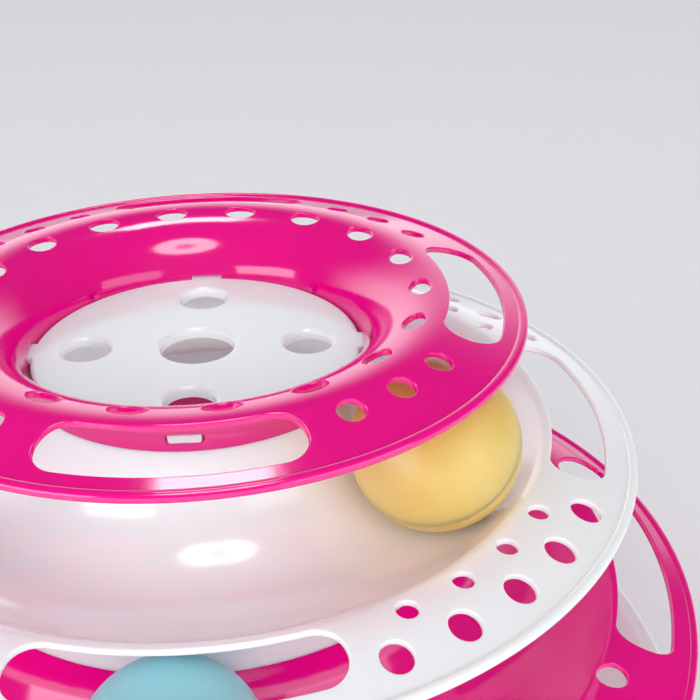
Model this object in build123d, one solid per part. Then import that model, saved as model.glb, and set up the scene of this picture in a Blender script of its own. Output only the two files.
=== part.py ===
from build123d import *
import os
from math import acos, atan2, cos, degrees, hypot, radians, sin, sqrt

# A cat ball track toy: three track rings stacked on a base, each track with its own hollow ball.
# Millimetres, +Z up. The origin is on the tower's axis, on the surface that the pads stand on.
# Paw slots point along +X, +Y, -X and -Y on every ring.

# Balls
BALL_DIAMETER = 38.0
BALL_WALL = 1.4
BALL_GAP = 0.3            # running gap between a ball and its groove
BALL_TONGUE = 1.2         # height of the tongue that joins the two halves
BALL_TONGUE_GAP = 0.1
YELLOW_AZIMUTH = -30.6
BLUE_AZIMUTH = -92.0
GREEN_AZIMUTH = 150.0
YELLOW_SEAM_TILT = 35.0
BLUE_SEAM_TILT = -25.0
GREEN_SEAM_TILT = 60.0

# Walls and rims, alike on all the mouldings
WALL = 1.5
GROOVE_CLEARANCE = 2.5    # the groove's radius over the ball's
CREST_RADIUS = 5.0        # inner roll of a ring's crest
BEAD_WIDTH = 2.4
BEAD_HEIGHT = 2.4
BEAD_RADIUS = 1.1
BEAD_RISE = 0.7           # the bead's top over the brim beside it

# How a ring locks on the hub below: a spigot, and snap fingers that hook into windows
SEAT_GAP = 0.3
SPIGOT_WALL = 1.8
SPIGOT_HEIGHT = 1.7
NECK_FLANGE = 2.0
FINGER_WIDTH = 8.5
FINGER_HEIGHT = 5.0
HOOK_REACH = 1.6
HOOK_HEIGHT = 2.3
WINDOW_GAP = 0.3
LOCKS = 4
LOCK_TURN = 45.0          # the fingers and their windows, from the paw slots

# Paw slots
SLOTS = 4
SLOT_ROUND = 0.47         # corner radius as a share of the slot's width

# Hole rows
HOLE_TURN = -0.8          # the rows' middles, from half way between two slots

# Base
PAD_THICKNESS = 2.9
PAD_WIDTH = 6.4
PAD_ANGLE = 26.0
PADS = 4
BASE_HUB_RADIUS = 76.0
BASE_FLAT = 8.0           # flat floor under the ball, which the pads are stuck to
BASE_OUTER_COVE = 12.0
BASE_CREST_RADIUS = 3.5
BASE_CREST_OUTER = 5.0
BASE_DEPTH = 6.9
BASE_SLOPE = 40.0
BASE_BRIM = 2.8
BASE_BRIM_SLOPE = 12.0

# Lower ring
LOWER_CLEARANCE = 9.54    # from the ball below to the groove over it
LOWER_SEAM_DROP = 20.6    # from the crest down to the seam on the hub below
LOWER_HUB_STEP = 13.0     # the hub's radius, in from the base's hub
LOWER_GROOVE_CLEARANCE = 1.0  # a closer groove than the others
LOWER_DEPTH = 4.0
LOWER_OVERHANG = 0.43     # the rim, past the base's rim
LOWER_CREST_OUTER = 25.0
LOWER_BRIM = 20.3
LOWER_BRIM_SLOPE = 33.0
LOWER_SLOT_INSET = 0.6    # slot's inner edge, out from the crest
LOWER_SLOT_BAND = 5.9     # slot's outer edge, in from the rim
LOWER_SLOT_ANGLE = 44.0
LOWER_HOLE_PITCH = 8.5
LOWER_LARGE_HOLES = 5
LOWER_LARGE_HOLE = 7.2
LOWER_LARGE_INSET = 2.9
LOWER_SMALL_HOLES = 4
LOWER_SMALL_HOLE = 4.9
LOWER_SMALL_INSET = 12.3

# Middle ring
MIDDLE_CLEARANCE = 1.15   # from the ball below to the groove over it
MIDDLE_SEAM_DROP = 25.4
MIDDLE_HUB_STEP = 22.5    # the hub's radius, in from the lower ring's hub
MIDDLE_DEPTH = 10.4
MIDDLE_SLOPE = 40.0
MIDDLE_CREST_OUTER = 30.0
MIDDLE_BRIM = 20.2
MIDDLE_BRIM_SLOPE = 18.0
MIDDLE_SLOT_INSET = 0.2
MIDDLE_SLOT_BAND = 7.2
MIDDLE_SLOT_ANGLE = 40.5
MIDDLE_HOLE_PITCH = 9.5
MIDDLE_LARGE_HOLES = 5
MIDDLE_LARGE_HOLE = 6.7
MIDDLE_LARGE_INSET = 11.3
MIDDLE_SMALL_HOLES = 4
MIDDLE_SMALL_HOLE = 4.6
MIDDLE_SMALL_INSET = 2.9

# Top ring
TOP_HEADROOM = 3.8        # over the ball below it
TOP_SEAM_DROP = 17.9
TOP_FOOT_HEIGHT = 0.5     # upright foot of the bowl's wall
TOP_BOWL_REACH = 18.2     # from the foot's inner face out to the crest
TOP_BOWL_SLOPE = 45.0     # where the wall's two arcs meet
TOP_CREST_OUTER = 18.0
TOP_BRIM = 20.0
TOP_BRIM_SLOPE = 15.0
TOP_SLOT_INSET = 2.2
TOP_SLOT_BAND = 5.3
TOP_SLOT_ANGLE = 45.4
TOP_HOLE_PITCH = 12.0
TOP_BRIM_HOLES = 3
TOP_BRIM_HOLE = 5.8
TOP_BRIM_INSET = 7.0
TOP_BOWL_HOLES = 18
TOP_BOWL_HOLE = 8.0       # along the ring; these holes are oval
TOP_BOWL_HOLE_DEPTH = 4.9  # across the ring
TOP_BOWL_INSET = 4.3      # bowl holes, in from the crest
NUBS = 4
NUB_RADIUS = 0.8
NUB_HEIGHT = 1.4
NUB_REACH = 0.3           # the nubs' middles, out from the foot's inner face
NUB_GAP = 0.15            # over the cap disc

# Cap disc
DISC_THICKNESS = 2.5
DISC_EDGE = 0.8
DISC_HOLES = 4
DISC_HOLE = 11.5
DISC_MIDDLE_HOLE = 17.3
DISC_HOLE_CIRCLE = 26.3
DISC_HOLE_EDGE = 1.1
TABS = 4                  # tabs on the disc's edge that stand in the top ring's windows
TAB_WIDTH = 7.1
TAB_HEIGHT = 1.8
TAB_REACH = 0.5           # past the top ring's foot
TAB_EDGE = 0.6
LEGS = 4                  # snap legs that hook under the middle ring's neck
LEG_WIDTH = 8.0
LEG_WALL = 1.4
LEG_HOOK = 1.2
LEG_HOOK_HEIGHT = 1.6

# Heights and radii that follow from the sizes above
ball_radius = BALL_DIAMETER / 2
groove_radius = ball_radius + GROOVE_CLEARANCE
lower_groove = ball_radius + LOWER_GROOVE_CLEARANCE
track_need = BALL_GAP + BALL_DIAMETER + WALL


def run_over(slope, depth, cove, roll):
    """How far out a wall runs that rises from a floor to a crest: cove, straight slope, roll."""
    both = cove + roll
    return (both - (both - depth) * cos(radians(slope))) / sin(radians(slope))


def slope_over(run, depth, cove, roll):
    """The slope of the wall that rises to its crest within a given run."""
    both = cove + roll
    return degrees(atan2(run, both - depth) - acos(both / hypot(run, both - depth)))


def floor_over(ball_centre, ball_circle, own_circle, groove, clearance):
    """The floor of a groove that clears the ball of the track below it."""
    apart = groove + WALL + ball_radius + clearance
    aside = ball_circle - own_circle
    return ball_centre + sqrt(max(apart**2 - aside**2, 0)) - groove


lower_hub = BASE_HUB_RADIUS - LOWER_HUB_STEP     # also the middle ring's skirt
middle_hub = lower_hub - MIDDLE_HUB_STEP         # also the foot of the top ring's bowl
base_ball_circle = BASE_HUB_RADIUS + groove_radius + BASE_FLAT / 2
lower_ball_circle = lower_hub + lower_groove
middle_ball_circle = middle_hub + groove_radius

base_floor = PAD_THICKNESS + WALL
base_ball_height = base_floor + BALL_GAP + ball_radius
lower_floor = floor_over(base_ball_height, base_ball_circle, lower_ball_circle, lower_groove, LOWER_CLEARANCE)
lower_crest = lower_floor + LOWER_DEPTH
lower_seam = lower_crest - LOWER_SEAM_DROP
lower_ball_height = lower_floor + BALL_GAP + ball_radius
middle_floor = floor_over(lower_ball_height, lower_ball_circle, middle_ball_circle, groove_radius,
                          MIDDLE_CLEARANCE)
middle_crest = middle_floor + MIDDLE_DEPTH
middle_seam = middle_crest - MIDDLE_SEAM_DROP
middle_ball_height = middle_floor + BALL_GAP + ball_radius
top_crest = middle_floor + track_need + TOP_HEADROOM
top_seam = top_crest - TOP_SEAM_DROP

base_run = run_over(BASE_SLOPE, BASE_DEPTH, BASE_OUTER_COVE, BASE_CREST_RADIUS)
base_rim = BASE_HUB_RADIUS + groove_radius + BASE_FLAT + base_run + BASE_BRIM
lower_run = base_rim + LOWER_OVERHANG - LOWER_BRIM - lower_ball_circle
lower_slope = slope_over(lower_run, LOWER_DEPTH, lower_groove, CREST_RADIUS)

disc_radius = middle_hub - WALL - SEAT_GAP
disc_bottom = top_seam + SPIGOT_HEIGHT
disc_top = disc_bottom + DISC_THICKNESS
tab_middle = disc_top - TAB_HEIGHT / 2


class WallPath:
    """A wall of even thickness, drawn along its upper face in (radius, height) with tangent steps.

    The wall lies on the right-hand side of the path.
    """

    def __init__(self, start, heading):
        self.place = Vector(*start)
        self.heading = heading
        self.upper = []
        self.under = []

    def left(self, heading):
        return Vector(-sin(radians(heading)), cos(radians(heading)))

    def below(self, place, heading):
        return place - self.left(heading) * WALL

    def line(self, length):
        along = Vector(cos(radians(self.heading)), sin(radians(self.heading)))
        end = self.place + along * length
        self.upper.append(Line(self.place, end))
        self.under.append(Line(self.below(self.place, self.heading), self.below(end, self.heading)))
        self.place = end
        return self

    def arc(self, radius, turn):
        side = 1 if turn > 0 else -1
        centre = self.place + self.left(self.heading) * radius * side
        headings = [self.heading + turn * share for share in (0, 0.5, 1)]
        points = [centre - self.left(h) * radius * side for h in headings]
        self.upper.append(ThreePointArc(*points))
        self.under.append(ThreePointArc(*[self.below(p, h) for p, h in zip(points, headings)]))
        self.place = points[2]
        self.heading = headings[2]
        return self

    def section(self):
        first = Line(self.upper[0] @ 0, self.under[0] @ 0)
        last = Line(self.upper[-1] @ 1, self.under[-1] @ 1)
        return make_face(self.upper + self.under + [first, last])


def block(inner, outer, low, high):
    """A rectangle of the section, from one radius and height to another."""
    return Pos((inner + outer) / 2, (low + high) / 2) * Rectangle(outer - inner, high - low)


def rim_bead(place):
    """The rounded bead at the end of a brim, standing a little over it."""
    top = place.Y + BEAD_RISE
    return Pos(place.X, top - BEAD_HEIGHT / 2) * RectangleRounded(BEAD_WIDTH, BEAD_HEIGHT, BEAD_RADIUS)


def add_brim(path, crest_outer, brim, slope):
    """Runs a path from its crest down the brim to the middle of the rim's bead."""
    reach = brim - BEAD_WIDTH / 2
    path.arc(crest_outer, -slope)
    path.line((reach - crest_outer * sin(radians(slope))) / cos(radians(slope)))
    return path


def track_path(hub, seam, floor, groove, depth, slope, outer_cove, crest_roll, flat=0.0):
    """Runs a path down a hub, through the ball's groove and up to the crest."""
    bend = 1 - cos(radians(slope))
    path = WallPath((hub, seam), -90)
    path.line(seam - floor - groove)
    path.arc(groove, 90)
    if flat:
        path.line(flat)
    path.arc(outer_cove, slope)
    path.line((depth - (outer_cove + crest_roll) * bend) / sin(radians(slope)))
    path.arc(crest_roll, -slope)
    return path


def neck(hub, seam):
    """The flange and spigot at a hub's top that the ring above sits on."""
    outer = hub - WALL - SEAT_GAP
    inner = outer - SPIGOT_WALL
    flange = block(inner, hub, seam - NECK_FLANGE, seam)
    spigot = block(inner, outer, seam - NECK_FLANGE, seam + SPIGOT_HEIGHT)
    return flange + spigot


def skirt(outer, seam, ball_circle, floor, groove):
    """The upright ring under a groove, down to the seam on the hub below."""
    across = outer - WALL / 2 - ball_circle
    top = floor + groove - sqrt(groove**2 - across**2)
    return block(outer - WALL, outer, seam, top - WALL / 2)


def turned(section):
    return revolve(Plane.XZ * section, Axis.Z)


def around(count, item, start=0.0):
    """Copies of an item round the axis, evenly spaced."""
    return [Rot(0, 0, start + 360 / count * i) * item for i in range(count)]


def finger_section(hub, seam):
    """A snap finger on the spigot, with an outward hook that slopes at its top."""
    outer = hub - WALL - SEAT_GAP
    inner = outer - SPIGOT_WALL
    tip = seam + FINGER_HEIGHT
    hook = tip - HOOK_HEIGHT
    return make_face(Polyline(
        (inner, seam),
        (outer, seam),
        (outer, hook),
        (outer + HOOK_REACH, hook),
        (outer + HOOK_REACH, tip - HOOK_REACH),
        (outer, tip),
        (inner, tip),
        close=True,
    ))


def finger_gaps(hub, seam):
    """What is cut from the turned fingers, so that only one stands at each lock."""
    outer = hub - WALL - SEAT_GAP
    inner = outer - SPIGOT_WALL
    ring = Circle(outer + 2 * HOOK_REACH) - Circle(inner - SPIGOT_WALL)
    ring -= around(LOCKS, Pos(outer, 0) * Rectangle(hub, FINGER_WIDTH), LOCK_TURN)
    return Pos(0, 0, seam + SPIGOT_HEIGHT) * extrude(ring, FINGER_HEIGHT)


def windows(wall_outer, middle, width, height, count, start=0.0):
    """Openings in an upright wall for the hooks or tabs that lock it; middle is their height."""
    window = Box(4 * WALL, width + 2 * WINDOW_GAP, height + 2 * WINDOW_GAP)
    return around(count, Pos(wall_outer, 0, middle) * window, start)


def slot_cuts(inner, outer, angle, low, high):
    """Rounded ring sectors, one for each paw slot."""
    half = radians(angle / 2)
    ends = [(radius * cos(half), radius * sin(half)) for radius in (inner, outer)]
    starts = [(x, -y) for x, y in ends]
    sector = make_face([
        ThreePointArc(starts[0], (inner, 0), ends[0]),
        Line(ends[0], ends[1]),
        ThreePointArc(ends[1], (outer, 0), starts[1]),
        Line(starts[1], starts[0]),
    ])
    sector = fillet(sector.vertices(), SLOT_ROUND * (outer - inner))
    return around(SLOTS, Pos(0, 0, low) * extrude(sector, high - low))


def hole_row(radius, diameter, count, pitch, low, high):
    """Upright holes in a row along the brim, centred between each two slots."""
    drill = Pos(radius, 0, (low + high) / 2) * Cylinder(diameter / 2, high - low)
    row = [Rot(0, 0, pitch * (i - (count - 1) / 2)) * drill for i in range(count)]
    between = 180 / SLOTS + HOLE_TURN
    return [copy for hole in row for copy in around(SLOTS, hole, between)]


def make_base():
    path = track_path(BASE_HUB_RADIUS, lower_seam, base_floor, groove_radius, BASE_DEPTH, BASE_SLOPE,
                      BASE_OUTER_COVE, BASE_CREST_RADIUS, BASE_FLAT)
    add_brim(path, BASE_CREST_OUTER, BASE_BRIM, BASE_BRIM_SLOPE)
    section = path.section() + rim_bead(path.place) + neck(BASE_HUB_RADIUS, lower_seam)
    section += finger_section(BASE_HUB_RADIUS, lower_seam)
    return turned(section) - finger_gaps(BASE_HUB_RADIUS, lower_seam)


def make_pad():
    """A curved non-slip strip under the flat of the base's floor."""
    inner = base_ball_circle - PAD_WIDTH / 2
    outer = base_ball_circle + PAD_WIDTH / 2
    half = radians(PAD_ANGLE / 2)
    ends = [(radius * cos(half), radius * sin(half)) for radius in (inner, outer)]
    starts = [(x, -y) for x, y in ends]
    strip = make_face([
        ThreePointArc(starts[0], (inner, 0), ends[0]),
        ThreePointArc(ends[0], (base_ball_circle * cos(half) - PAD_WIDTH / 2 * sin(half),
                                base_ball_circle * sin(half) + PAD_WIDTH / 2 * cos(half)), ends[1]),
        ThreePointArc(ends[1], (outer, 0), starts[1]),
        ThreePointArc(starts[1], (base_ball_circle * cos(half) - PAD_WIDTH / 2 * sin(half),
                                  -base_ball_circle * sin(half) - PAD_WIDTH / 2 * cos(half)), starts[0]),
    ])
    return extrude(strip, PAD_THICKNESS)


def make_ring(hub, seam, hub_seam, floor, groove, depth, slope, crest_outer, brim, brim_slope, skirt_radius,
              locks):
    """A track ring without its cuts, and the radius of its crest; locks says if its neck has fingers."""
    path = track_path(hub, hub_seam, floor, groove, depth, slope, groove, CREST_RADIUS)
    crest = path.place.X
    add_brim(path, crest_outer, brim, brim_slope)
    section = path.section() + rim_bead(path.place) + neck(hub, hub_seam)
    section += skirt(skirt_radius, seam, hub + groove, floor, groove)
    if locks:
        section += finger_section(hub, hub_seam)
    ring = turned(section)
    if locks:
        ring -= finger_gaps(hub, hub_seam)
    hook = seam + FINGER_HEIGHT - HOOK_HEIGHT / 2
    return ring - windows(skirt_radius, hook, FINGER_WIDTH, HOOK_HEIGHT, LOCKS, LOCK_TURN), crest


def make_lower_ring():
    ring, crest = make_ring(lower_hub, lower_seam, middle_seam, lower_floor, lower_groove, LOWER_DEPTH,
                            lower_slope, LOWER_CREST_OUTER, LOWER_BRIM, LOWER_BRIM_SLOPE,
                            BASE_HUB_RADIUS, locks=True)
    span = (lower_seam, lower_crest + WALL)
    ring -= slot_cuts(crest + LOWER_SLOT_INSET, crest + LOWER_BRIM - LOWER_SLOT_BAND,
                      LOWER_SLOT_ANGLE, *span)
    ring -= hole_row(crest + LOWER_LARGE_INSET, LOWER_LARGE_HOLE, LOWER_LARGE_HOLES,
                     LOWER_HOLE_PITCH, *span)
    ring -= hole_row(crest + LOWER_SMALL_INSET, LOWER_SMALL_HOLE, LOWER_SMALL_HOLES,
                     LOWER_HOLE_PITCH, *span)
    return ring


def make_middle_ring():
    ring, crest = make_ring(middle_hub, middle_seam, top_seam, middle_floor, groove_radius, MIDDLE_DEPTH,
                            MIDDLE_SLOPE, MIDDLE_CREST_OUTER, MIDDLE_BRIM, MIDDLE_BRIM_SLOPE,
                            lower_hub, locks=False)
    span = (middle_floor, middle_crest + WALL)
    ring -= slot_cuts(crest + MIDDLE_SLOT_INSET, crest + MIDDLE_BRIM - MIDDLE_SLOT_BAND,
                      MIDDLE_SLOT_ANGLE, *span)
    ring -= hole_row(crest + MIDDLE_LARGE_INSET, MIDDLE_LARGE_HOLE, MIDDLE_LARGE_HOLES,
                     MIDDLE_HOLE_PITCH, *span)
    ring -= hole_row(crest + MIDDLE_SMALL_INSET, MIDDLE_SMALL_HOLE, MIDDLE_SMALL_HOLES,
                     MIDDLE_HOLE_PITCH, *span)
    return ring


def bowl_arcs(reach, rise, slope):
    """Radii of two tangent arcs that turn a wall from upright to level within a reach and a rise."""
    sine = sin(radians(slope))
    cosine = cos(radians(slope))
    scale = (1 - sine) * (1 - cosine) - sine * cosine
    first = (reach * (1 - cosine) - rise * sine) / scale
    second = (rise * (1 - sine) - reach * cosine) / scale
    return first, second


def make_top_ring():
    foot = middle_hub - WALL
    lower_arc, upper_arc = bowl_arcs(TOP_BOWL_REACH, TOP_SEAM_DROP - TOP_FOOT_HEIGHT, TOP_BOWL_SLOPE)
    path = WallPath((foot, top_seam), 90)
    path.line(TOP_FOOT_HEIGHT)
    path.arc(lower_arc, TOP_BOWL_SLOPE - 90)
    path.arc(upper_arc, -TOP_BOWL_SLOPE)
    crest = path.place.X
    add_brim(path, TOP_CREST_OUTER, TOP_BRIM, TOP_BRIM_SLOPE)
    ring = turned(path.section() + rim_bead(path.place))
    nub = Cylinder(NUB_RADIUS, NUB_HEIGHT)
    nub = Pos(foot + NUB_REACH, 0, disc_top + NUB_GAP + NUB_HEIGHT / 2) * nub
    ring += around(NUBS, nub, 180 / NUBS)
    ring -= windows(middle_hub, tab_middle, TAB_WIDTH, TAB_HEIGHT, TABS)
    span = (disc_top + NUB_HEIGHT, top_crest + WALL)
    ring -= slot_cuts(crest + TOP_SLOT_INSET, crest + TOP_BRIM - TOP_SLOT_BAND, TOP_SLOT_ANGLE, *span)
    ring -= hole_row(crest + TOP_BRIM_INSET, TOP_BRIM_HOLE, TOP_BRIM_HOLES, TOP_HOLE_PITCH, *span)
    oval = Pos(crest - TOP_BOWL_INSET, 0, span[0]) * Ellipse(TOP_BOWL_HOLE_DEPTH / 2, TOP_BOWL_HOLE / 2)
    ring -= around(TOP_BOWL_HOLES, extrude(oval, span[1] - span[0]))
    return ring


def disc_tab():
    """A tab level with the disc's upper face, round below, that stands in a window of the top ring."""
    outer = middle_hub + TAB_REACH
    inner = disc_radius - 2 * WALL
    tab = Box(outer - inner, TAB_WIDTH, TAB_HEIGHT)
    tab = fillet(tab.edges().filter_by(Axis.X).sort_by(Axis.Z)[:2], TAB_EDGE)
    return Pos((inner + outer) / 2, 0, tab_middle) * tab


def disc_leg():
    """A snap leg under the disc that hooks below the flange of the middle ring's neck."""
    outer = disc_radius - SPIGOT_WALL - 2 * SEAT_GAP
    inner = outer - LEG_WALL
    under = top_seam - NECK_FLANGE - SEAT_GAP
    foot = under - LEG_HOOK_HEIGHT
    root = disc_bottom + DISC_THICKNESS / 2
    outline = Polyline(
        (inner, root),
        (inner, foot),
        (outer, foot),
        (outer + LEG_HOOK, foot + LEG_HOOK),
        (outer + LEG_HOOK, under),
        (outer, under),
        (outer, root),
        close=True,
    )
    return extrude(Plane.XZ * make_face(outline), LEG_WIDTH / 2, both=True)


def make_cap_disc():
    disc = Cylinder(disc_radius, DISC_THICKNESS)
    disc = fillet(disc.edges().filter_by(GeomType.CIRCLE).sort_by(Axis.Z)[-1:], DISC_EDGE)
    cuts = [Cylinder(DISC_MIDDLE_HOLE / 2, DISC_THICKNESS)]
    cuts += around(DISC_HOLES, Pos(DISC_HOLE_CIRCLE, 0, 0) * Cylinder(DISC_HOLE / 2, DISC_THICKNESS))
    disc -= cuts
    rims = disc.faces().sort_by(Axis.Z)[-1].inner_wires()
    disc = fillet([edge for wire in rims for edge in wire.edges()], DISC_HOLE_EDGE)
    disc = Pos(0, 0, disc_bottom + DISC_THICKNESS / 2) * disc
    return disc + around(TABS, disc_tab()) + around(LEGS, disc_leg(), 180 / LEGS)


def half_shell(upper):
    """Half of a hollow ball about its own centre, with a tongue below or its rebate above."""
    inside = ball_radius - BALL_WALL
    middle = ball_radius - BALL_WALL / 2
    shell = Circle(ball_radius) - Circle(inside)
    if upper:
        half = shell & (Pos(ball_radius / 2, ball_radius / 2) * Rectangle(ball_radius, ball_radius))
        half -= block(0, middle + BALL_TONGUE_GAP / 2, 0, BALL_TONGUE + BALL_TONGUE_GAP)
    else:
        half = shell & (Pos(ball_radius / 2, -ball_radius / 2) * Rectangle(ball_radius, ball_radius))
        tongue = shell & block(0, middle - BALL_TONGUE_GAP / 2, 0, BALL_TONGUE)
        half += tongue
    return turned(half)


def ball_place(circle, height, azimuth, tilt):
    return Rot(0, 0, azimuth) * Pos(circle, 0, height) * Rot(tilt, 0, 0)


nodes = {
    "base": make_base(),
    "lower_track_ring": make_lower_ring(),
    "middle_track_ring": make_middle_ring(),
    "top_track_ring": make_top_ring(),
    "cap_disc": make_cap_disc(),
}

balls = {
    "yellow_ball": ball_place(middle_ball_circle, middle_ball_height, YELLOW_AZIMUTH, YELLOW_SEAM_TILT),
    "blue_ball": ball_place(lower_ball_circle, lower_ball_height, BLUE_AZIMUTH, BLUE_SEAM_TILT),
    "green_ball": ball_place(base_ball_circle, base_ball_height, GREEN_AZIMUTH, GREEN_SEAM_TILT),
}
for name, place in balls.items():
    nodes[name + "_upper_half"] = place * half_shell(upper=True)
    nodes[name + "_lower_half"] = place * half_shell(upper=False)

for number, pad in enumerate(around(PADS, make_pad(), 180 / PADS), start=1):
    nodes[f"non_slip_pad_{number}"] = pad

os.makedirs("parts", exist_ok=True)
for name, solid in nodes.items():
    export_step(solid, f"parts/{name}.step")
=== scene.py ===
import math

import bpy
from mathutils import Matrix, Vector
from mathutils.geometry import delaunay_2d_cdt


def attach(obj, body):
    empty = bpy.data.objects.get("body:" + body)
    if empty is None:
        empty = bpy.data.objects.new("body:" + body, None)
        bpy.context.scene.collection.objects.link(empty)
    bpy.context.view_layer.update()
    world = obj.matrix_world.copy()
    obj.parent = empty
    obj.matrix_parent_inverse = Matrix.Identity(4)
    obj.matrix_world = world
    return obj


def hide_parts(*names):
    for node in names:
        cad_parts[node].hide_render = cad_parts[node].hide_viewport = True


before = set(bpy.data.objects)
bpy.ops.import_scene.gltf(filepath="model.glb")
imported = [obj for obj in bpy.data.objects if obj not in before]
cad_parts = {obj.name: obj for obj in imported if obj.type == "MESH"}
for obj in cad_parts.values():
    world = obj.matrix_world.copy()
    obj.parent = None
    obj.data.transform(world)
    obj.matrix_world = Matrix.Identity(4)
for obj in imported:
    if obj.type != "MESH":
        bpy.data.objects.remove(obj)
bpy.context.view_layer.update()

# The frame is the CAD model's: +Z up, the base's pads on z = 0, the photograph's front towards -Y.
# The stage is in metres, and the mouldings' sizes are in millimetres. Angles are in degrees.

# Camera: a close view down on the front of the tower
CAMERA_PLACE = Vector((0.02653, -0.25809, 0.24774))
CAMERA_DOWN = 27.60
CAMERA_ROLL = 1.106
CAMERA_TURN = -2.15
CAMERA_LENS = 62.72
CAMERA_SENSOR = 36.0
CAMERA_NEAR, CAMERA_FAR = 0.01, 50.0

# Floor and room
FLOOR_COLOUR = (0.86, 0.865, 0.88)
FLOOR_SIZE = 8.0
FLOOR_ROUGHNESS = 0.8
FLOOR_GRAIN, FLOOR_GRAIN_SHADE = 300.0, 0.98
ROOM_COLOUR = (0.97, 0.97, 1.0)
ROOM_LIGHT = 0.67         # what the room sheds on matt surfaces
ROOM_GLOSS = 0.06         # what gloss shows of the room's dark side
SWEEP_LIGHT = 1.7         # the lit paper behind the toy
SWEEP_SIDE = (-0.34, 0.94, 0.0)
SWEEP_ACROSS = (0.35, 0.95)     # how far a direction points to that side, from none of the paper to all
SWEEP_UP = (0.64, 0.26)         # how far it points up, from none of the paper to all

# Lamps: name, elevation, azimuth, distance, width, height, radiance, whether gloss shows it and
# whether matt surfaces are lit by it
TARGET = Vector((0.0, 0.0, 0.10))
LAMPS = (
    ("back_strip", 65.5, 94.0, 1.2, 0.28, 0.20, 8.0, True, False),
    ("front_left_box", 9.0, -138.0, 1.3, 1.00, 0.62, 2.6, True, True),
    ("front_right_box", 9.0, -42.0, 1.3, 1.00, 0.62, 1.15, True, True),
    ("front_fill", 32.0, -86.0, 1.6, 2.4, 1.2, 1.35, False, True),
)
UMBRELLA = ("top_umbrella", 63.0, -81.0, 1.2, 0.64, 0.68, 4.4, True, False)
UMBRELLA_EDGE = (0.50, 0.42)    # from the middle, as shares of its size: dark, and fully lit
UMBRELLA_HEAD = (0.08, 0.20)    # the same for the dim spot in its middle
UMBRELLA_DIM = 0.25
CORE_GLOW = 0.025         # watts: what the thin walls let through into the hollow middle
CORE_PLACE = Vector((0.0, 0.0, 0.085))
CORE_RADIUS = 0.02

# Plastics: colour, colour in the mottle, roughness, translucency, its depth, and its reach in red,
# green and blue
RED_REACH, EVEN_REACH = (1.0, 0.8, 0.8), (1.0, 1.0, 1.0)
PINK = ((0.85, 0.0005, 0.262), (0.81, 0.0005, 0.242), 0.10, 0.35, 0.0025, RED_REACH)
WHITE = ((0.87, 0.93, 0.935), (0.85, 0.91, 0.915), 0.14, 0.95, 0.0018, RED_REACH)
YELLOW = ((1.0, 0.59, 0.165), (1.0, 0.56, 0.14), 0.40, 1.00, 0.0040, EVEN_REACH)
BLUE = ((0.36, 0.78, 0.92), (0.33, 0.75, 0.90), 0.40, 1.00, 0.0040, EVEN_REACH)
GREEN = ((0.48, 0.76, 0.30), (0.44, 0.72, 0.26), 0.40, 1.00, 0.0040, EVEN_REACH)
RUBBER = ((0.50, 0.50, 0.51), (0.45, 0.45, 0.46), 0.75, 0.0, 0.001, RED_REACH)
PLASTIC_IOR, PLASTIC_SPECULAR = 1.58, 0.95
MOTTLE_SCALE, MOTTLE_DETAIL = 22.0, 3.0
POLISH_SCALE, POLISH_DETAIL, POLISH_SPREAD = 60.0, 4.0, 0.25
PEEL_SCALE, PEEL_DETAIL, PEEL_STRENGTH, PEEL_DEPTH = 420.0, 2.0, 0.05, 0.0002

# Mouldings, as in the part's source
WALL = 1.5
GROOVE, LOWER_GROOVE = 21.5, 20.0
CREST_ROLL = 5.0
BEAD_WIDTH, BEAD_HEIGHT, BEAD_RADIUS, BEAD_RISE = 2.4, 2.4, 1.1, 0.7
SEAT_GAP, SPIGOT_WALL, SPIGOT_HEIGHT, NECK_FLANGE = 0.3, 1.8, 1.7, 2.0
FINGER_WIDTH, FINGER_HEIGHT, HOOK_REACH, HOOK_HEIGHT = 8.5, 5.0, 1.6, 2.3
WINDOW_GAP = 0.3
QUARTERS = (0, 90, 180, 270)
LOCK_TURN = 45.0
ROW_MIDDLE = 44.2         # the hole rows' middles, from a paw slot
SLOT_ROUND = 0.47         # a slot's corner radius, as a share of its width
MM = 0.001

# Joints between the mouldings, as heights and hub radii
LOWER_SEAM, MIDDLE_SEAM, TOP_SEAM = 33.59, 70.69, 111.39
BASE_HUB, LOWER_HUB, MIDDLE_HUB = 76.0, 63.0, 40.5

# Grooves: the floor's height, the outer side's depth and slope
BASE_FLOOR, BASE_DEPTH, BASE_SLOPE = 4.4, 6.9, 40.0
BASE_FLAT, BASE_COVE, BASE_CREST_ROLL = 8.0, 12.0, 3.5
LOWER_FLOOR, LOWER_DEPTH, LOWER_SLOPE = 50.19, 4.0, 13.82
MIDDLE_FLOOR, MIDDLE_DEPTH, MIDDLE_SLOPE = 85.69, 10.4, 40.0

# Brims: the crest's outer radius, the width from the crest, and the slope
BASE_BRIM = (5.0, 2.8, 12.0)
LOWER_BRIM = (25.0, 20.3, 33.0)
MIDDLE_BRIM = (30.0, 20.2, 18.0)
TOP_BRIM = (18.0, 20.0, 15.0)

# Paw slots: inner and outer edge from the crest, and angle
LOWER_SLOT = (0.6, 14.4, 44.0)
MIDDLE_SLOT = (0.2, 13.0, 40.5)
TOP_SLOT = (2.2, 14.7, 45.4)

# Hole rows: distance from the crest, diameter, count and pitch
LOWER_ROWS = ((2.9, 7.2, 5, 8.5), (12.3, 4.9, 4, 8.5))
MIDDLE_ROWS = ((11.3, 6.7, 5, 9.5), (2.9, 4.6, 4, 9.5))
TOP_ROWS = ((7.0, 5.8, 3, 12.0),)

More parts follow.
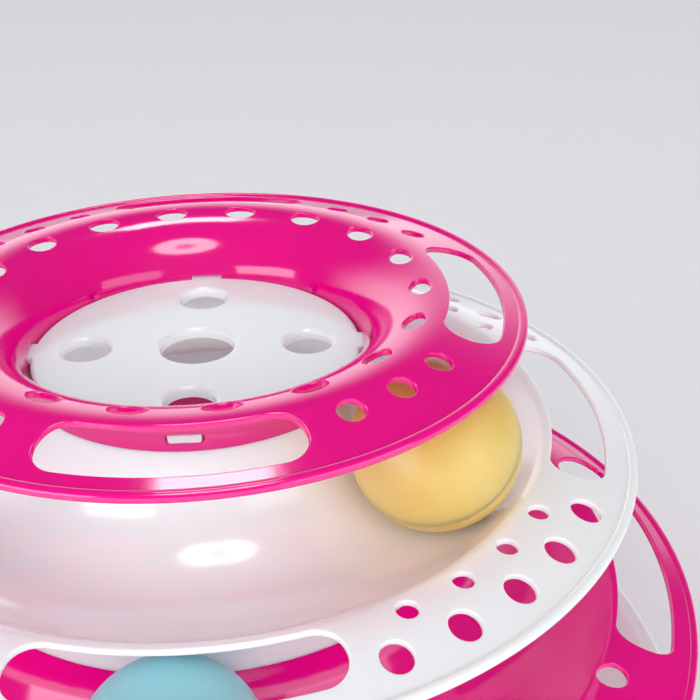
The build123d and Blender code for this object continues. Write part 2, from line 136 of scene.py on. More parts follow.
# The top ring's bowl, its oval holes, its windows for the disc's legs and its four nubs
BOWL_FOOT, BOWL_REACH, BOWL_RISE, BOWL_SLOPE = 0.5, 18.2, 17.9, 45.0
OVAL_INSET, OVAL_ACROSS, OVAL_ALONG, OVAL_COUNT = 4.3, 4.9, 8.0, 18
LEG_WIDTH, LEG_WINDOW_LOW, LEG_WINDOW_HIGH = 7.1, 113.5, 115.9
NUB = ((38.5, 115.75), (38.5, 116.85), (38.8, 117.15), (40.3, 117.15), (40.3, 115.75))
NUB_WIDTH, NUB_TURN = 1.6, 45.0

# Meshes
TURN_STEPS = 360          # faces round a moulding
CUT_EDGE = 0.4            # roll of every cut's edge
ROLL_LEANS = (0, 30, 60, 90, 90, 120, 150, 180)
WALL_STEP, BRIM_STEP, BOWL_STEP, SKIRT_STEP = 6.0, 1.5, 1.3, 1.0
BRIM_LEAD = 4.0           # how far inside the crest the pierced plate starts
RIM_MARGIN = 1.6          # how far before the bead it ends
BOWL_LEAD = 0.4           # the same at the bowl's foot
SKIRT_FOOT, SKIRT_HEAD = 1.2, 1.5   # plain wall under and over the windows' plate
OVAL_POINTS, CORNER_STEPS, SLOT_STEP, WINDOW_CORNER_STEPS, BEAD_STEPS = 40, 12, 1.6, 6, 8
BISECTIONS = 30
FLAT_TOLERANCE = 1e-7
# The first column of each mesh lies clear of every cut
BASE_START, LOWER_START, MIDDLE_START, TOP_START = 0.0, 23.1, 21.2, 26.5


def left_of(heading):
    return -math.sin(math.radians(heading)), math.cos(math.radians(heading))


class WallPath:
    """A wall's upper face in (radius, height), drawn with tangent steps; the wall is on its right."""

    def __init__(self, start, heading):
        self.place, self.heading = start, heading
        self.pieces = []
        self.length = 0.0

    def add(self, length, radius, turn):
        self.pieces.append((self.length, length, self.place, self.heading, radius, turn))
        self.length += length
        r, z, _, _ = self.at(self.length)
        self.place = (r, z)
        self.heading += turn
        return self

    def line(self, length):
        return self.add(length, 0.0, 0.0)

    def arc(self, radius, turn):
        return self.add(radius * math.radians(abs(turn)), radius, turn)

    def at(self, u):
        """Radius, height and outward normal at a length along the face."""
        start, length, (r, z), heading, radius, turn = next(
            (p for p in self.pieces if u <= p[0] + p[1]), self.pieces[-1])
        share = (u - start) / length
        if not turn:
            along = math.radians(heading)
            normal = left_of(heading)
            return r + (u - start) * math.cos(along), z + (u - start) * math.sin(along), *normal
        side = math.copysign(radius, turn)
        first, now = left_of(heading), left_of(heading + turn * share)
        return r + (first[0] - now[0]) * side, z + (first[1] - now[1]) * side, *now

    def under(self, u):
        r, z, nr, nz = self.at(u)
        return r - WALL * nr, z - WALL * nz, -nr, -nz

    def stations(self, first, last, step, bend=3.0):
        """Lengths along the face that follow its lines and arcs, at most a step apart."""
        cuts = [first]
        for start, length, _, _, _, turn in self.pieces:
            low, high = max(first, start), min(last, start + length)
            if high - low < 1e-6:
                continue
            share = (high - low) / length
            count = max(1, math.ceil((high - low) / step), math.ceil(abs(turn) * share / bend))
            cuts += [low + (high - low) * k / count for k in range(1, count + 1)]
        return cuts

    def find(self, axis, value, first, last, face=None):
        """The length, between two, at which a face's radius (axis 0) or height (axis 1) gets to a value."""
        face = face or self.at
        rising = face(last)[axis] > face(first)[axis]
        for _ in range(BISECTIONS):
            middle = (first + last) / 2
            if (face(middle)[axis] < value) == rising:
                first = middle
            else:
                last = middle
        return (first + last) / 2


class Moulding:
    """A mesh turned round the axis, with thin plates in it that carry rounded cuts."""

    def __init__(self, start_angle):
        self.points, self.faces, self.normals, self.rows = [], [], [], {}
        self.angles = [math.radians(start_angle) + 2 * math.pi * i / TURN_STEPS for i in range(TURN_STEPS)]
        self.start = math.radians(start_angle)

    def point(self, r, z, angle):
        self.points.append((r * math.cos(angle) * MM, r * math.sin(angle) * MM, z * MM))
        return len(self.points) - 1

    def row(self, r, z):
        key = (round(r, 4), round(z, 4))
        if key not in self.rows:
            self.rows[key] = [self.point(r, z, angle) for angle in self.angles]
        return self.rows[key]

    def face(self, corners, normals):
        self.faces.append(corners)
        self.normals += normals

    def turn(self, samples):
        """Turns a run of (radius, height, normal) samples, with the material on the run's right."""
        for (r0, z0, nr0, nz0), (r1, z1, nr1, nz1) in zip(samples, samples[1:]):
            near, far = self.row(r0, z0), self.row(r1, z1)
            for i, angle in enumerate(self.angles):
                j = (i + 1) % TURN_STEPS
                after = self.angles[j]
                self.face([near[i], far[i], far[j], near[j]],
                          [turned_normal(nr0, nz0, angle), turned_normal(nr1, nz1, angle),
                           turned_normal(nr1, nz1, after), turned_normal(nr0, nz0, after)])

    def corners(self, outline):
        """Turns a run of straight steps with sharp corners."""
        for (r0, z0), (r1, z1) in zip(outline, outline[1:]):
            length = math.hypot(r1 - r0, z1 - z0)
            normal = (-(z1 - z0) / length, (r1 - r0) / length)
            self.turn([(r0, z0, *normal), (r1, z1, *normal)])

    def plate(self, path, levels, cuts):
        """Both faces of a wall between two rows, and the rolled edges of the cuts through it."""
        middle = path.at(levels[len(levels) // 2])[0]
        flat, spots, edges = [], [], []

        def add(angle, u, spot):
            flat.append(Vector(((angle - self.start) * middle, u)))
            spots.append((angle, u, *spot))
            return len(flat) - 1

        loops = [cut.loop(path, CUT_EDGE, self.start) for cut in cuts]
        boxes = []
        for loop in loops:
            spans = [[p[k] for p in loop] for k in (0, 1)]
            boxes.append((min(spans[0]), max(spans[0]), min(spans[1]), max(spans[1])))
        columns = self.angles + [self.start + 2 * math.pi]
        grid = {}
        for j, u in enumerate(levels):
            for i, angle in enumerate(columns):
                inner = 0 < j < len(levels) - 1 and 0 < i < TURN_STEPS
                if inner and any(near_loop(angle, u, loop, box, middle) for loop, box in zip(loops, boxes)):
                    continue
                grid[i, j] = add(angle, u, ("grid", i % TURN_STEPS, j))
        last = len(levels) - 1
        for i in range(TURN_STEPS):
            edges += [(grid[i, 0], grid[i + 1, 0]), (grid[i, last], grid[i + 1, last])]
        for j in range(last):
            edges += [(grid[0, j], grid[0, j + 1]), (grid[TURN_STEPS, j], grid[TURN_STEPS, j + 1])]
        for number, loop in enumerate(loops):
            first = len(flat)
            for k, (angle, u) in enumerate(loop):
                add(angle, u, ("cut", number, k))
            edges += [(first + k, first + (k + 1) % len(loop)) for k in range(len(loop))]
        made = delaunay_2d_cdt(flat, edges, [], 0, FLAT_TOLERANCE)
        origin = [sources[0] for sources in made[3]]

        rims = {}
        for face, sign in ((path.at, 1), (path.under, -1)):
            ends = {j: self.row(*face(levels[j])[:2]) for j in (0, last)}
            shared, normals = {}, {}
            for index in origin:
                angle, u, kind, a, b = spots[index]
                r, z, nr, nz = face(u)
                normals[index] = turned_normal(nr, nz, angle)
                if kind == "grid" and b in ends:
                    shared[index] = ends[b][a]
                elif (kind, a, b) in rims.setdefault(sign, {}):
                    shared[index] = rims[sign][kind, a, b]
                else:
                    shared[index] = rims[sign][kind, a, b] = self.point(r, z, angle)
            for triangle in made[2]:
                corners = [origin[k] for k in triangle]
                loops_hit = {spots[k][3] if spots[k][2] == "cut" else None for k in corners}
                if len(loops_hit) == 1 and None not in loops_hit:
                    continue
                if sign > 0:
                    corners.reverse()
                self.face([shared[k] for k in corners], [normals[k] for k in corners])
        for number, cut in enumerate(cuts):
            self.roll(path, cut, [[rims[sign]["cut", number, k] for k in range(len(loops[number]))]
                                  for sign in (1, -1)])

    def roll(self, path, cut, rims):
        """The wall of one cut, rolled from the upper face over to the under face."""
        rings = []
        for number, lean in enumerate(ROLL_LEANS):
            sine, cosine = math.sin(math.radians(lean)), math.cos(math.radians(lean))
            lower = number >= len(ROLL_LEANS) // 2
            depth = WALL - CUT_EDGE * (1 + cosine) if lower else CUT_EDGE * (1 - cosine)
            loop = cut.loop(path, CUT_EDGE * (1 - sine), self.start)
            ring, normals = [], []
            for (angle, u), out in zip(loop, cut.outward()):
                r, z, nr, nz = path.at(u)
                up = Vector(turned_normal(nr, nz, angle))
                out = (out - up * out.dot(up)).normalized()
                normals.append(tuple(up * cosine - out * sine))
                ring.append((r - depth * nr, z - depth * nz, angle))
            rings.append((ring, normals))
        indices = [rims[0]] + [[self.point(*p) for p in ring] for ring, _ in rings[1:-1]] + [rims[1]]
        count = len(rims[0])
        flow = sum(a0 * u1 - a1 * u0 for (a0, u0), (a1, u1) in zip(loop, loop[1:] + loop[:1]))
        for k in range(len(rings) - 1):
            for a in range(count):
                b = (a + 1) % count
                if flow < 0:
                    a, b = b, a
                self.face([indices[k][a], indices[k + 1][a], indices[k + 1][b], indices[k][b]],
                          [rings[k][1][a], rings[k + 1][1][a], rings[k + 1][1][b], rings[k][1][b]])

    def block(self, outline, width, angle):
        """A straight piece of a section in (radius, height), with its material on the right."""
        turn = math.radians(angle)
        across = Vector((-math.sin(turn), math.cos(turn), 0))
        along = Vector((math.cos(turn), math.sin(turn), 0))
        sides = []
        for shift in (-width / 2, width / 2):
            places = [along * r + across * shift + Vector((0, 0, z)) for r, z in outline]
            first = len(self.points)
            self.points += [tuple(p * MM) for p in places]
            sides.append(list(range(first, first + len(places))))
        self.face(sides[0][::-1], [tuple(-across)] * len(outline))
        self.face(sides[1], [tuple(across)] * len(outline))
        for k in range(len(outline)):
            n = (k + 1) % len(outline)
            (r0, z0), (r1, z1) = outline[k], outline[n]
            out = (along * -(z1 - z0) + Vector((0, 0, r1 - r0))).normalized()
            self.face([sides[0][k], sides[0][n], sides[1][n], sides[1][k]], [tuple(out)] * 4)

    def finish(self, name):
        mesh = bpy.data.meshes.new(name)
        mesh.from_pydata(self.points, [], self.faces)
        mesh.polygons.foreach_set("use_smooth", [True] * len(mesh.polygons))
        mesh.normals_split_custom_set(self.normals)
        mesh.update()
        piece = bpy.data.objects.new(name, mesh)
        bpy.context.scene.collection.objects.link(piece)
        return piece


def turned_normal(nr, nz, angle):
    return nr * math.cos(angle), nr * math.sin(angle), nz


def near_loop(angle, u, loop, box, scale, margin=0.7):
    """Whether a point of the flat pattern is inside a cut's loop or too close to it."""
    side = margin / scale
    if not (box[0] - side < angle < box[1] + side and box[2] - margin < u < box[3] + margin):
        return False
    inside = False
    for (a0, u0), (a1, u1) in zip(loop, loop[1:] + loop[:1]):
        if math.hypot((a0 - angle) * scale, u0 - u) < margin:
            return True
        if (u0 > u) != (u1 > u) and angle < a0 + (u - u0) / (u1 - u0) * (a1 - a0):
            inside = not inside
    return inside


class Cut:
    """A rounded opening: points with outward normals, seen from above or against an upright wall."""

    def __init__(self, outline, angle, wall=None, reach=None):
        self.outline, self.angle, self.wall, self.reach = outline, math.radians(angle), wall, reach

    def loop(self, path, grown, start):
        """The opening's edge as (angle, length along the face), grown by an offset."""
        spots = []
        reach = self.reach or path.length
        for a, b, na, nb in self.outline:
            a, b = a + grown * na, b + grown * nb
            if self.wall:
                angle, u = self.angle + a / self.wall, path.find(1, b, 0.0, reach)
            else:
                angle, u = self.angle + math.atan2(b, a), path.find(0, math.hypot(a, b), 0.0, reach)
            spots.append((start + (angle - start) % (2 * math.pi), u))
        return spots

    def outward(self):
        cosine, sine = math.cos(self.angle), math.sin(self.angle)
        for a, b, na, nb in self.outline:
            if self.wall:
                turn = self.angle + a / self.wall
                yield Vector((-math.sin(turn) * na, math.cos(turn) * na, nb))
            else:
                yield Vector((na * cosine - nb * sine, na * sine + nb * cosine, 0))


def oval_outline(radius, across, along):
    """An oval hole on a circle of some radius; across is its radial size."""
    outline = []
    for k in range(OVAL_POINTS):
        t = 2 * math.pi * k / OVAL_POINTS
        normal = Vector((math.cos(t) / across, math.sin(t) / along)).normalized()
        outline.append((radius + across / 2 * math.cos(t), along / 2 * math.sin(t), *normal))
    return outline


def slot_outline(inner, outer, angle):
    """A ring sector with round corners about the +X axis."""
    half, corner = math.radians(angle / 2), SLOT_ROUND * (outer - inner)
    outline = []

    def bend(centre, first, last):
        for k in range(CORNER_STEPS + 1):
            t = first + (last - first) * k / CORNER_STEPS
            n = (math.cos(t), math.sin(t))
            outline.append((centre[0] + corner * n[0], centre[1] + corner * n[1], *n))

    def sweep(radius, first, last, sign):
        count = max(2, round(abs(last - first) * radius / SLOT_STEP))
        for k in range(1, count):
            t = first + (last - first) * k / count
            n = (math.cos(t), math.sin(t))
            outline.append((radius * n[0], radius * n[1], sign * n[0], sign * n[1]))

    far = half - math.asin(corner / (outer - corner))
    near = half - math.asin(corner / (inner + corner))
    far_place, near_place = [
        [(radius * math.cos(s * turn), radius * math.sin(s * turn)) for s in (-1, 1)]
        for radius, turn in ((outer - corner, far), (inner + corner, near))]
    sweep(outer, -far, far, 1)
    bend(far_place[1], far, half + math.pi / 2)
    bend(near_place[1], half + math.pi / 2, near + math.pi)
    sweep(inner, near, -near, -1)
    bend(near_place[0], math.pi - near, math.pi * 1.5 - half)
    bend(far_place[0], math.pi * 1.5 - half, 2 * math.pi - far)
    return outline


def window_outline(width, low, high, corner=0.6):
    """A window with round corners in an upright wall, in (arc length, height)."""
    outline = []
    right, left = width / 2 - corner, -width / 2 + corner
    upper, lower = high - corner, low + corner
    centres = ((right, upper), (left, upper), (left, lower), (right, lower))
    for quarter, (s, z) in zip(QUARTERS, centres):
        for k in range(WINDOW_CORNER_STEPS + 1):
            t = math.radians(quarter + 90 / WINDOW_CORNER_STEPS * k)
            n = (math.cos(t), math.sin(t))
            outline.append((s + corner * n[0], z + corner * n[1], *n))
    return outline


def hole_rows(radius, diameter, count, pitch):
    """Round holes in a row between each two slots."""
    shape = oval_outline(radius, diameter, diameter)
    return [Cut(shape, quarter + ROW_MIDDLE + pitch * (k - (count - 1) / 2))
            for quarter in QUARTERS for k in range(count)]


def bead_samples(path):
    """The rim's bead from the brim's upper face round to its under face."""
    r, z = path.place
    fall = math.tan(math.radians(-path.heading))
    cr = BEAD_RADIUS - BEAD_WIDTH / 2
    top, low = BEAD_RISE - BEAD_RADIUS, BEAD_RISE - BEAD_HEIGHT + BEAD_RADIUS

    def meet(height, drop):
        """The angle at which the brim's face, a drop below its upper one, meets an inner round."""
        k = drop + height
        a, b, c = 1 + fall**2, 2 * (fall * k - cr), cr**2 + k**2 - BEAD_RADIUS**2
        x = (-b - math.sqrt(b * b - 4 * a * c)) / (2 * a)
        return math.degrees(math.atan2(-fall * x - k, x - cr))

    first, last = meet(top, 0.0), meet(low, WALL / math.cos(math.radians(path.heading)))
    rounds = ((cr, top, first, 90), (-cr, top, 90, 0), (-cr, low, 0, -90), (cr, low, -90, last))
    samples = []
    for x, y, start, end in rounds:
        for k in range(BEAD_STEPS + 1):
            t = math.radians(start + (end - start) * k / BEAD_STEPS)
            n = (math.cos(t), math.sin(t))
            samples.append((r + x + BEAD_RADIUS * n[0], z + y + BEAD_RADIUS * n[1], *n))
    return samples


def add_brim(path, crest_outer, brim, slope):
    """Goes on from a crest down the brim as far as the bead."""
    path.arc(crest_outer, -slope)
    reach = brim - BEAD_WIDTH / 2 - crest_outer * math.sin(math.radians(slope))
    path.line(reach / math.cos(math.radians(slope)))


def track_path(hub, seam, floor, groove, depth, slope, outer_cove, crest_roll, flat=0.0):
    """A track's upper face from its hub's top, down through the groove and up to the crest."""
    bend = 1 - math.cos(math.radians(slope))
    path = WallPath((hub, seam), -90)
    path.line(seam - floor - groove).arc(groove, 90)
    if flat:
        path.line(flat)
    path.arc(outer_cove, slope)
    path.line((depth - (outer_cove + crest_roll) * bend) / math.sin(math.radians(slope)))
    path.arc(crest_roll, -slope)
    path.crest = path.place[0]
    return path


def turn_rim(moulding, path, last):
    """The end of the brim and its bead, from one face of the wall round to the other."""
    bead = bead_samples(path)
    moulding.turn([path.at(last), (*bead[0][:2], *path.at(path.length)[2:])])
    moulding.turn(bead)
    moulding.turn([(*bead[-1][:2], *path.under(path.length)[2:]), path.under(last)])


def turn_neck(moulding, hub, seam):
    """The flange under a hub's top and the spigot that stands on it."""
    outer = hub - WALL - SEAT_GAP
    inner = outer - SPIGOT_WALL
    flange, tip = seam - NECK_FLANGE, seam + SPIGOT_HEIGHT
    moulding.corners([(hub - WALL, flange), (inner, flange), (inner, tip), (outer, tip), (outer, seam),
                      (hub, seam)])


def add_fingers(moulding, hub, seam):
    """The snap fingers on a neck, with their hooks outwards."""
    outer = hub - WALL - SEAT_GAP
    inner = outer - SPIGOT_WALL
    tip = seam + FINGER_HEIGHT
    outline = [(inner, seam), (inner, tip), (outer, tip), (outer + HOOK_REACH, tip - HOOK_REACH),
               (outer + HOOK_REACH, tip - HOOK_HEIGHT), (outer, tip - HOOK_HEIGHT), (outer, seam)]
    for quarter in QUARTERS:
        moulding.block(outline, FINGER_WIDTH, quarter + LOCK_TURN)


def make_track(name, path, hub, hub_seam, fingers, cuts, start_angle, skirt=None, seam=None):
    """A base or track ring: hub, groove, pierced brim, bead, skirt with windows, and neck."""
    moulding = Moulding(start_angle)
    slope = path.find(0, path.crest - BRIM_LEAD, 0.0, path.length)
    last = path.length - RIM_MARGIN
    levels = path.stations(slope, last, BRIM_STEP)
    moulding.turn([path.at(u) for u in path.stations(0.0, slope, WALL_STEP)])
    if cuts:
        moulding.plate(path, levels, cuts)
    else:
        moulding.turn([path.at(u) for u in levels])
        moulding.turn([path.under(u) for u in reversed(levels)])
    turn_rim(moulding, path, last)
    first = NECK_FLANGE
    if skirt:
        outer, inner = [path.find(0, radius, first, slope, path.under)
                        for radius in (skirt, skirt - WALL)]
        moulding.turn([path.under(u) for u in reversed(path.stations(outer, slope, WALL_STEP))])
        turn_skirt(moulding, skirt, seam, path.under(outer)[:2], path.under(inner)[:2])
        slope = inner
    moulding.turn([path.under(u) for u in reversed(path.stations(first, slope, WALL_STEP))])
    turn_neck(moulding, hub, hub_seam)
    if fingers:
        add_fingers(moulding, hub, hub_seam)
    return moulding.finish(name)


def turn_skirt(moulding, radius, seam, outer_top, inner_top):
    """The upright ring under a groove, with a window for each lock."""
    tip = seam + FINGER_HEIGHT
    low, high = seam + SKIRT_FOOT, tip + SKIRT_HEAD
    inside = radius - WALL
    wall = WallPath((radius, high), -90).line(high - low)
    shape = window_outline(FINGER_WIDTH + 2 * WINDOW_GAP, tip - HOOK_HEIGHT - WINDOW_GAP,
                           tip + WINDOW_GAP)
    moulding.corners([outer_top, (radius, high)])
    moulding.plate(wall, wall.stations(0.0, high - low, SKIRT_STEP),
                   [Cut(shape, quarter + LOCK_TURN, radius) for quarter in QUARTERS])
    moulding.corners([(radius, low), (radius, seam), (inside, seam), (inside, low)])
    moulding.corners([(inside, high), inner_top])


def brim_cuts(crest, slot, rows):
    """A brim's four paw slots and the hole rows between them, measured from its crest."""
    inner, outer, angle = slot
    shape = slot_outline(crest + inner, crest + outer, angle)
    cuts = [Cut(shape, quarter) for quarter in QUARTERS]
    for distance, diameter, count, pitch in rows:
        cuts += hole_rows(crest + distance, diameter, count, pitch)
    return cuts


def make_base():
    path = track_path(BASE_HUB, LOWER_SEAM, BASE_FLOOR, GROOVE, BASE_DEPTH, BASE_SLOPE, BASE_COVE,
                      BASE_CREST_ROLL, BASE_FLAT)
    add_brim(path, *BASE_BRIM)
    return make_track("base_moulding", path, BASE_HUB, LOWER_SEAM, True, [], BASE_START)


def make_lower_ring():
    path = track_path(LOWER_HUB, MIDDLE_SEAM, LOWER_FLOOR, LOWER_GROOVE, LOWER_DEPTH, LOWER_SLOPE,
                      LOWER_GROOVE, CREST_ROLL)
    add_brim(path, *LOWER_BRIM)
    cuts = brim_cuts(path.crest, LOWER_SLOT, LOWER_ROWS)
    return make_track("lower_ring_moulding", path, LOWER_HUB, MIDDLE_SEAM, True, cuts, LOWER_START,
                      BASE_HUB, LOWER_SEAM)


def make_middle_ring():
    path = track_path(MIDDLE_HUB, TOP_SEAM, MIDDLE_FLOOR, GROOVE, MIDDLE_DEPTH, MIDDLE_SLOPE,
                      GROOVE, CREST_ROLL)
    add_brim(path, *MIDDLE_BRIM)
    cuts = brim_cuts(path.crest, MIDDLE_SLOT, MIDDLE_ROWS)
    return make_track("middle_ring_moulding", path, MIDDLE_HUB, TOP_SEAM, False, cuts, MIDDLE_START,
                      LOWER_HUB, MIDDLE_SEAM)


def bowl_arcs(reach, rise, slope):
    """Radii of two tangent arcs that turn a wall from upright to level within a reach and a rise."""
    sine, cosine = math.sin(math.radians(slope)), math.cos(math.radians(slope))
    scale = (1 - sine) * (1 - cosine) - sine * cosine
    return (reach * (1 - cosine) - rise * sine) / scale, (rise * (1 - sine) - reach * cosine) / scale


def make_top_ring():
    foot = MIDDLE_HUB - WALL
    lower_arc, upper_arc = bowl_arcs(BOWL_REACH, BOWL_RISE - BOWL_FOOT, BOWL_SLOPE)
    path = WallPath((foot, TOP_SEAM), 90).line(BOWL_FOOT)
    path.arc(lower_arc, BOWL_SLOPE - 90).arc(upper_arc, -BOWL_SLOPE)
    path.crest = path.place[0]
    high = path.length
    add_brim(path, *TOP_BRIM)
    cuts = brim_cuts(path.crest, TOP_SLOT, TOP_ROWS)
    oval = oval_outline(path.crest - OVAL_INSET, OVAL_ACROSS, OVAL_ALONG)
    cuts += [Cut(oval, 360 / OVAL_COUNT * k) for k in range(OVAL_COUNT)]
    window = window_outline(LEG_WIDTH + 2 * WINDOW_GAP, LEG_WINDOW_LOW, LEG_WINDOW_HIGH)
    cuts += [Cut(window, quarter, foot, high) for quarter in QUARTERS]
    moulding = Moulding(TOP_START)
    first, last = BOWL_LEAD, path.length - RIM_MARGIN
    moulding.plate(path, path.stations(first, last, BOWL_STEP), cuts)
    turn_rim(moulding, path, last)
    moulding.corners([path.under(first)[:2], (MIDDLE_HUB, TOP_SEAM), (foot, TOP_SEAM),
                      path.at(first)[:2]])
    for quarter in QUARTERS:
        moulding.block(NUB, NUB_WIDTH, quarter + NUB_TURN)
    return moulding.finish("top_ring_moulding")


def node(tree, kind, **settings):
    made = tree.nodes.new(kind)
    for key, value in settings.items():
        setattr(made, key, value)
    return made


def noise(tree, place, scale, detail):
    """Noise in the piece's own coordinates."""
    made = node(tree, "ShaderNodeTexNoise")
    made.inputs["Scale"].default_value = scale
    made.inputs["Detail"].default_value = detail
    tree.links.new(place.outputs["Object"], made.inputs["Vector"])
    return made.outputs["Fac"]


def mixed_colour(tree, factor, colour, other, shader):
    """Feeds a shader's colour with a mix of two."""
    mix = node(tree, "ShaderNodeMix", data_type="RGBA")
    mix.inputs["A"].default_value = (*colour, 1.0)
    mix.inputs["B"].default_value = (*other, 1.0)
    tree.links.new(factor, mix.inputs["Factor"])
    tree.links.new(mix.outputs["Result"], shader.inputs["Base Color"])


def moulded_plastic(name, colour, deep_colour, roughness, translucency, depth, reach):
    """Gloss plastic with a faint flow mottle, uneven polish and a fine orange-peel surface."""
    material = bpy.data.materials.new(name)
    material.use_nodes = True
    tree = material.node_tree
    shader = tree.nodes["Principled BSDF"]
    shader.inputs["IOR"].default_value = PLASTIC_IOR
    shader.inputs["Specular IOR Level"].default_value = PLASTIC_SPECULAR
    shader.inputs["Subsurface Weight"].default_value = translucency
    shader.inputs["Subsurface Radius"].default_value = reach
    shader.inputs["Subsurface Scale"].default_value = depth
    place = node(tree, "ShaderNodeTexCoord")

    mottle = noise(tree, place, MOTTLE_SCALE, MOTTLE_DETAIL)
    mixed_colour(tree, mottle, colour, deep_colour, shader)

    polish = noise(tree, place, POLISH_SCALE, POLISH_DETAIL)
    spread = node(tree, "ShaderNodeMapRange")
    spread.inputs["To Min"].default_value = roughness * (1 - POLISH_SPREAD)
    spread.inputs["To Max"].default_value = roughness * (1 + POLISH_SPREAD)
    tree.links.new(polish, spread.inputs["Value"])
    tree.links.new(spread.outputs["Result"], shader.inputs["Roughness"])

    peel = noise(tree, place, PEEL_SCALE, PEEL_DETAIL)
    bump = node(tree, "ShaderNodeBump")
    bump.inputs["Strength"].default_value = PEEL_STRENGTH
    bump.inputs["Distance"].default_value = PEEL_DEPTH
    tree.links.new(peel, bump.inputs["Height"])
    tree.links.new(bump.outputs["Normal"], shader.inputs["Normal"])
    return material


def set_material(object_, material):
    object_.data.materials.clear()
    object_.data.materials.append(material)
    for polygon in object_.data.polygons:
        polygon.material_index = 0


def dress_parts():
    """Makes the mouldings in place of their CAD nodes, and gives every visible piece its material."""
    pink = moulded_plastic("pink_plastic", *PINK)
    white = moulded_plastic("white_plastic", *WHITE)
    dress = {
        "cap_disc": white,
        "yellow_ball": moulded_plastic("yellow_ball", *YELLOW),
        "blue_ball": moulded_plastic("blue_ball", *BLUE),
        "green_ball": moulded_plastic("green_ball", *GREEN),
        "non_slip_pad": moulded_plastic("pad_rubber", *RUBBER),
    }
    mouldings = (
        (make_base, "base", white, "white_plastic"),
        (make_lower_ring, "lower_track_ring", pink, "pink_plastic"),
        (make_middle_ring, "middle_track_ring", white, "white_plastic"),
        (make_top_ring, "top_track_ring", pink, "pink_plastic"),
    )
    for make, name, material, slot in mouldings:
        piece = make()
        set_material(piece, material)
        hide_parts(name)
        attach(piece, "tower")
    for name, object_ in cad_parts.items():
        for start, material in dress.items():
            if name.startswith(start):
                set_material(object_, material)


def make_floor():
    bpy.ops.mesh.primitive_plane_add(size=FLOOR_SIZE, location=(0, 0, 0))
    floor = bpy.context.object
    floor.name = "floor"
    material = bpy.data.materials.new("floor_paper")
    material.use_nodes = True
    tree = material.node_tree
    shader = tree.nodes["Principled BSDF"]
    shader.inputs["Roughness"].default_value = FLOOR_ROUGHNESS
    grain = node(tree, "ShaderNodeTexNoise")
    grain.inputs["Scale"].default_value = FLOOR_GRAIN
    shade = [FLOOR_GRAIN_SHADE * c for c in FLOOR_COLOUR]
    mixed_colour(tree, grain.outputs["Fac"], FLOOR_COLOUR, shade, shader)
    floor.data.materials.append(material)


def make_lamp(name, elevation, azimuth, distance, width, height, radiance, in_gloss, on_matt):
    """A soft rectangular lamp aimed at the toy; its radiance is how bright it looks, 1 for white paper."""
    e, a = math.radians(elevation), math.radians(azimuth)
    out = Vector((math.cos(e) * math.cos(a), math.cos(e) * math.sin(a), math.sin(e)))
    data = bpy.data.lights.new(name, "AREA")
    data.shape = "RECTANGLE"
    data.size, data.size_y = width, height
    data.energy = radiance * math.pi * width * height
    lamp = bpy.data.objects.new(name, data)
    lamp.location = TARGET + out * distance
    lamp.rotation_mode = "QUATERNION"
    lamp.rotation_quaternion = (-out).to_track_quat("-Z", "Y")
    lamp.visible_camera = False
    lamp.visible_glossy = in_gloss
    lamp.visible_diffuse = on_matt
    bpy.context.scene.collection.objects.link(lamp)
    return data


def soft_range(tree, source, span, low=0.0):
    """Goes softly from a low value to one as a source goes over a span."""
    made = node(tree, "ShaderNodeMapRange", interpolation_type="SMOOTHSTEP")
    made.inputs["From Min"].default_value, made.inputs["From Max"].default_value = span
    made.inputs["To Min"].default_value = low
    tree.links.new(source, made.inputs["Value"])
    return made.outputs["Result"]


def product(tree, first, second):
    made = node(tree, "ShaderNodeMath", operation="MULTIPLY")
    tree.links.new(first, made.inputs[0])
    tree.links.new(second, made.inputs[1])
    return made.outputs["Value"]


def make_umbrella():
    """A round lamp with soft edges and a dim middle, where the flash head stands before its umbrella."""
    data = make_lamp(*UMBRELLA)
    data.use_nodes = True
    tree = data.node_tree
    place = node(tree, "ShaderNodeNewGeometry")
    centred = node(tree, "ShaderNodeVectorMath", operation="SUBTRACT")
    centred.inputs[1].default_value = (0.5, 0.5, 0.0)
    tree.links.new(place.outputs["Parametric"], centred.inputs[0])
    away = node(tree, "ShaderNodeVectorMath", operation="LENGTH")
    tree.links.new(centred.outputs["Vector"], away.inputs[0])
    edge = soft_range(tree, away.outputs["Value"], UMBRELLA_EDGE)
    middle = soft_range(tree, away.outputs["Value"], UMBRELLA_HEAD, UMBRELLA_DIM)
    tree.links.new(product(tree, edge, middle), tree.nodes["Emission"].inputs["Strength"])


def make_core_glow():
    """A soft glow in the hollow middle, for the light that comes through the thin walls."""
    data = bpy.data.lights.new("core_glow", "POINT")
    data.energy = CORE_GLOW
    data.shadow_soft_size = CORE_RADIUS
    lamp = bpy.data.objects.new("core_glow", data)
    lamp.location = CORE_PLACE
    lamp.visible_camera = False
    lamp.visible_glossy = False
    bpy.context.scene.collection.objects.link(lamp)


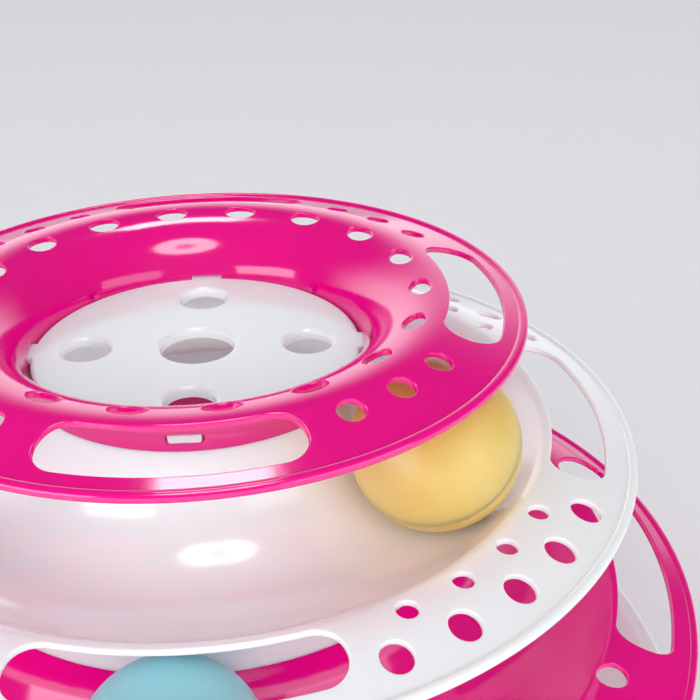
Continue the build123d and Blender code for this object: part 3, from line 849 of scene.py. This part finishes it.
def make_world():
    """A room with brightly lit paper low behind the toy; gloss shows the rest of the room dark."""
    world = bpy.data.worlds.new("studio")
    world.use_nodes = True
    tree = world.node_tree
    place = node(tree, "ShaderNodeTexCoord")
    split = node(tree, "ShaderNodeSeparateXYZ")
    tree.links.new(place.outputs["Generated"], split.inputs["Vector"])
    toward = node(tree, "ShaderNodeVectorMath", operation="DOT_PRODUCT")
    toward.inputs[1].default_value = SWEEP_SIDE
    tree.links.new(place.outputs["Generated"], toward.inputs[0])
    behind = soft_range(tree, toward.outputs["Value"], SWEEP_ACROSS)
    paper = product(tree, behind, soft_range(tree, split.outputs["Z"], SWEEP_UP))
    matt_view, gloss_view = tree.nodes["Background"], node(tree, "ShaderNodeBackground")
    for room, shade in ((ROOM_LIGHT, matt_view), (ROOM_GLOSS, gloss_view)):
        shade.inputs["Color"].default_value = (*ROOM_COLOUR, 1.0)
        glow = node(tree, "ShaderNodeMapRange")
        glow.inputs["To Min"].default_value = room
        glow.inputs["To Max"].default_value = SWEEP_LIGHT
        tree.links.new(paper, glow.inputs["Value"])
        tree.links.new(glow.outputs["Result"], shade.inputs["Strength"])
    path = node(tree, "ShaderNodeLightPath")
    mix = node(tree, "ShaderNodeMixShader")
    tree.links.new(path.outputs["Is Glossy Ray"], mix.inputs["Fac"])
    for socket, shade in zip((1, 2), (matt_view, gloss_view)):
        tree.links.new(shade.outputs["Background"], mix.inputs[socket])
    tree.links.new(mix.outputs["Shader"], tree.nodes["World Output"].inputs["Surface"])
    bpy.context.scene.world = world


def make_camera():
    data = bpy.data.cameras.new("camera")
    data.sensor_width = CAMERA_SENSOR
    data.lens = CAMERA_LENS
    data.clip_start, data.clip_end = CAMERA_NEAR, CAMERA_FAR
    camera = bpy.data.objects.new("camera", data)
    down = Matrix.Rotation(math.radians(90 - CAMERA_DOWN), 4, "X")
    roll = Matrix.Rotation(math.radians(-CAMERA_ROLL), 4, "Z")
    turn = Matrix.Rotation(math.radians(CAMERA_TURN), 4, "Z")
    camera.matrix_world = Matrix.Translation(CAMERA_PLACE) @ turn @ (down @ roll)
    bpy.context.scene.collection.objects.link(camera)
    bpy.context.scene.camera = camera


make_camera()
make_floor()
make_world()
make_umbrella()
make_core_glow()
for lamp in LAMPS:
    make_lamp(*lamp)
dress_parts()
bpy.context.scene.view_settings.view_transform = "Standard"
